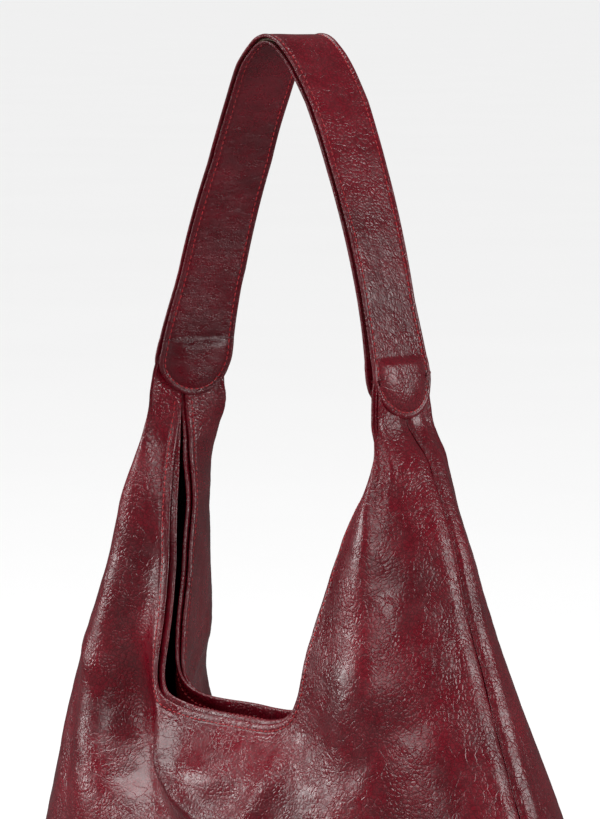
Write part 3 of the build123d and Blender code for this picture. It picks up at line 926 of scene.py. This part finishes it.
def fibre_board(name):
    """Grey-brown pressed fibre board."""
    n = Nodes(name)
    fibres = n.noise(420, 5.0, 0.7, n.stretch((1, 3, 1)))
    colour = n.blend(n.remap(fibres, 0.35, 0.65), srgb(98, 84, 70), srgb(150, 134, 114))
    return n.finish(colour, n.patchy(90, 0.8, 0.95), n.bump(fibres, 0.0002, 0.6))


def pale_floor(name):
    """A plain pale floor, almost even."""
    n = Nodes(name)
    colour = n.blend(n.noise(2.0, 3.0), srgb(241, 241, 241), srgb(244, 244, 244))
    return n.finish(colour, 0.9, n.bump(n.noise(500, 3.0), 0.0001, 0.2))


def finish(piece, material):
    piece.data.materials.clear()
    piece.data.materials.append(material)


def bend(piece):
    """Bakes the piece's placement into its mesh."""
    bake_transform(piece)


shell_leather = leather("burgundy_leather", srgb(118, 7, 28), srgb(86, 3, 18))
inner_leather = leather("strap_inner_leather", srgb(106, 6, 26), srgb(78, 3, 16), cell=1.7, crease=5,
                        stretch=(1, 1, 2.4), gloss=0.27, strength=0.9)
thread_look = thread("red_thread", srgb(228, 14, 42), srgb(150, 4, 18))
twill = cloth("black_twill", srgb(38, 33, 35), srgb(22, 19, 21))
tape_look = cloth("zip_tape_weave", srgb(40, 30, 34), srgb(22, 15, 18), pitch=0.6, sheen=0.15)
gold = metal("pale_gold", srgb(222, 190, 132))
zip_gold = metal("zip_gold", srgb(214, 182, 122), 0.18)
board_look = fibre_board("fibre_board")

# ---------------- the shell, facing and linings
PANEL_ROWS = np.concatenate([np.linspace(0, 0.93, 130, endpoint=False), np.linspace(0.93, 1, 22)])
PANEL_STRIPS = strips(28, 62, 40)
BAND_ROWS = np.linspace(0, 1, 26)
LINING_ROWS = np.linspace(0, 1, 60)
LINING_STRIPS = strips(8, 34, 26)

shells, bands = {}, {}
for side in SIDES:
    shells[side] = sewn_layer(side + "_shell", side, 0, LEATHER, PANEL_ROWS, PANEL_STRIPS, 0.0)
    finish(shells[side], shell_leather)
    bend(shells[side])
    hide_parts(side + "_panel")

for side in SIDES:
    bands[side] = mouth_band(side + "_mouth_band", side)
    finish(bands[side], shell_leather)
    bend(bands[side])
    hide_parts(side + "_facing")

for side in SIDES:
    lining = sewn_layer(side + "_lining_cloth", side, LINING_DEPTH, LINING, LINING_ROWS, LINING_STRIPS,
                        LINING_FOOT, drop=LINING_DROP, bead=0.0, highest=LINING_TOP)
    finish(lining, twill)
    bend(lining)
    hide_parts(side + "_lining")

base_leather = footprint("base_leather", LEATHER + 0.5, 0.0, LEATHER)
base_cloth = footprint("base_lining_cloth", LEATHER + 1.3, 4.1, LINING)
for piece, look, slot, node in ((base_leather, shell_leather, "leather", "base_panel"),
                                (base_cloth, twill, "lining", "base_lining")):
    finish(piece, look)
    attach(piece, "bag")
    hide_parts(node)

# ---------------- the strap
CORE = (1.75, 3.35)      # depths of the stiffener and of the horns' tips, between the leaves
CORE_INSET, TIP_INSET = 2.8, 3.0
CORE_START = TIP_LENGTH + 3
reseed("strap")
strap_outer = strap_sheet("strap_outer_leaf", 0, STRAP_LEAF, 0, 0, LENGTH, (1, 0.9), 0.5)
reseed("strap")
strap_inner = strap_sheet("strap_inner_leaf", STRAP_DEPTH - STRAP_LEAF, STRAP_DEPTH, 0, 0, LENGTH,
                          (-0.9, -1), 0.5)
strap_core = strap_sheet("strap_stiffener", *CORE, CORE_INSET, CORE_START, LENGTH - CORE_START, (0, 0))
for leaf in (strap_outer, strap_inner):
    close_seams(leaf)
for piece, look, slot, node in ((strap_outer, shell_leather, "leather", "strap_outer"),
                                (strap_inner, inner_leather, "strap_lining_leather", "strap_inner"),
                                (strap_core, board_look, "board", "strap_core")):
    finish(piece, look)
    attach(piece, "strap")
    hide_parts(node)

for name, low, high, node in (
        ("left_tip_leather", TIP_INSET, TIP_LENGTH, "left_horn_tip"),
        ("right_tip_leather", LENGTH - TIP_LENGTH, LENGTH - TIP_INSET, "right_horn_tip")):
    tip = strap_sheet(name, *CORE, TIP_INSET, low, high, (0.5, -0.5))
    finish(tip, shell_leather)
    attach(tip, "strap")
    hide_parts(node)

# ---------------- rows of stitches
strap_rows = [(leaf, *strap_stitch_path(inner_face))
              for leaf, inner_face in ((strap_outer, False), (strap_inner, True))]
strap_stitches = stitch_piece("strap_stitches", strap_rows)
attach(strap_stitches, "strap")

mouth_rows = [(leathers[side], *mouth_path(side, inset, depth, inward)) for side in SIDES
              for leathers, inset, depth, inward in ((shells, 3.0, 0.0, False), (bands, 4.4, 5.2, True))]
mouth_stitches = stitch_piece("mouth_stitches", mouth_rows)
bend(mouth_stitches)
for piece in (strap_stitches, mouth_stitches):
    finish(piece, thread_look)


# ---------------- inner pocket
# places across the pull in mm, with the share of its thickness there
PULL_ROWS = ((-2.5, 0.82), (-2.35, 0.93), (-2.0, 1), (0, 1), (2.0, 1), (2.35, 0.93), (2.5, 0.82))


def zip_pull_outline(y, z, top, bottom):
    """The pull's side view: an eye round the slider's bar and two leaves below it, as (y, z)."""
    leaf, radius, neck, turn = 1.0, top - z, 1.9, 0.9
    low, dip = 0.8, 0.15     # the foot's rounding
    foot = [(y - leaf, bottom + low), (y - low, bottom + dip), (y, bottom), (y + low, bottom + dip),
            (y + leaf, bottom + low)]
    right = [(y + leaf, bottom + low + (z - neck - bottom - low) * t) for t in np.linspace(0.05, 1, 14)]
    eye = [(y + radius * math.cos(a), z + radius * math.sin(a))
           for a in np.linspace(-turn, math.pi + turn, 21)]
    left = [(2 * y - a, b) for a, b in right[::-1]]
    return np.array(foot + right + eye + left)


def zip_pull_piece():
    """A folded leather pull: an eye round the slider's bar and two leaves sewn together."""
    low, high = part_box("zip_pull")
    joints = frame["record"]["behaviour"]["joints"]
    hinge = next(joint for joint in joints if joint["name"] == "zip_pull_swing")["pos_m"]
    x, y, z = (value / MM for value in hinge)
    outline = zip_pull_outline(y, z, high.z / MM, low.z / MM)
    grid = [[(x + dx, y + (a - y) * thick, b) for a, b in outline] for dx, thick in PULL_ROWS]
    return make_mesh("zip_pull_leather", grid, tube_faces(0, len(outline), len(PULL_ROWS)))


pull = zip_pull_piece()
finish(pull, shell_leather)
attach(pull, "zip_pull")
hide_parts("zip_pull")


def pouch_piece():
    """The pocket's cloth pouch: a slightly puffed flat bag that follows the back wall."""
    near_wall, cloth_depth, puff_height, samples = 4.0, 4.4, 1.6, 400
    low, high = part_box("pocket_bag")
    xs = np.linspace(low.x, high.x, 61) / MM
    zs = np.linspace(low.z, high.z, 41) / MM
    share = np.linspace(0.3, 1, samples)
    walls = [shell("back", share, np.full(samples, z)) for z in zs]
    points = np.array([[(x, np.interp(abs(x), wall[::-1, 0], wall[::-1, 1]), z) for x in xs]
                       for z, wall in zip(zs, walls)])
    across = np.array([[np.interp(abs(x), wall[::-1, 0], share[::-1]) for x in xs] for wall in walls])
    placed, normal = surface("back", half_of(points[..., 0]), across, points[..., 2])
    edge = np.minimum.reduce([points[..., 0] - xs[0], xs[-1] - points[..., 0],
                              points[..., 2] - zs[0], zs[-1] - points[..., 2]])
    puff = smooth(0, 22, edge)
    near = placed - normal * near_wall
    depth = cloth_depth + puff_height * puff + waves(points, *POUCH_WAVES) * puff
    far = placed - normal * depth[..., None]
    return closed_piece("pocket_pouch", np.concatenate([near, far[::-1]]))


pouch = pouch_piece()
finish(pouch, twill)
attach(pouch, "bag")
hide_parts("pocket_bag")

CAD_LOOKS = {"snap_socket": gold, "snap_stud": gold, "snap_washers": gold, "zip_teeth": zip_gold,
             "zip_stops": zip_gold, "zip_slider": zip_gold, "zip_tape_upper": tape_look,
             "zip_tape_lower": tape_look, "base_board": board_look}
for node, look in CAD_LOOKS.items():
    materials = frame["nodes"][node].data.materials
    materials.clear()
    materials.append(look)

# ---------------- floor, light and camera
FLOOR_RADIUS, FLOOR_CORNERS = 90.0, 96
ring = [(FLOOR_RADIUS * math.cos(a), FLOOR_RADIUS * math.sin(a), 0)
        for a in np.linspace(0, 2 * math.pi, FLOOR_CORNERS, endpoint=False)]
floor = make_mesh("floor", np.array(ring) / MM, [tuple(range(FLOOR_CORNERS))], False)
floor.data.materials.append(pale_floor("pale_floor"))
floor.visible_glossy = False

world = bpy.data.worlds.new("studio")
world.use_nodes = True
backdrop = world.node_tree.nodes["Background"].inputs
backdrop["Color"].default_value = (1.0, 1.0, 1.0, 1)
backdrop["Strength"].default_value = 0.12
bpy.context.scene.world = world

AIM = Vector((0, 0, 0.368))      # the camera and the softboxes look at the bag's mouth


def add_object(name, data, place, turn):
    thing = bpy.data.objects.new(name, data)
    thing.location = place
    thing.rotation_euler = turn
    bpy.context.scene.collection.objects.link(thing)
    return thing


def towards_aim(place):
    return (AIM - Vector(place)).to_track_quat("-Z", "Y").to_euler()


# name, place, size in metres, and power in watts
for name, place, size, power in (("key_softbox", (-2.2, -1.8, 0.95), (0.8, 0.9), 24),
                                 ("camera_softbox", (1.5, -2.3, 1.8), (0.9, 0.6), 17),
                                 ("side_softbox", (2.1, 1.6, 1.0), (1.1, 1.1), 28)):
    light = bpy.data.lights.new(name, "AREA")
    light.shape = "RECTANGLE"
    light.size, light.size_y = size
    light.energy = power
    add_object(name, light, place, towards_aim(place))

sun = bpy.data.lights.new("overhead", "SUN")
sun.energy = 3.0
sun.angle = math.radians(50)
add_object("overhead", sun, (0, 0, 0), (math.radians(12), math.radians(-14), 0))

AZIMUTH, ELEVATION, DISTANCE = math.radians(50), math.radians(5.6), 2.6
eye = AIM + DISTANCE * Vector((math.sin(AZIMUTH) * math.cos(ELEVATION),
                               -math.cos(AZIMUTH) * math.cos(ELEVATION), math.sin(ELEVATION)))
camera = bpy.data.cameras.new("camera")
camera.lens = 211.4
camera.sensor_width = 36
camera.clip_end = 400
bpy.context.scene.camera = add_object("camera", camera, eye, towards_aim(eye))
bpy.context.scene.view_settings.view_transform = "Standard"
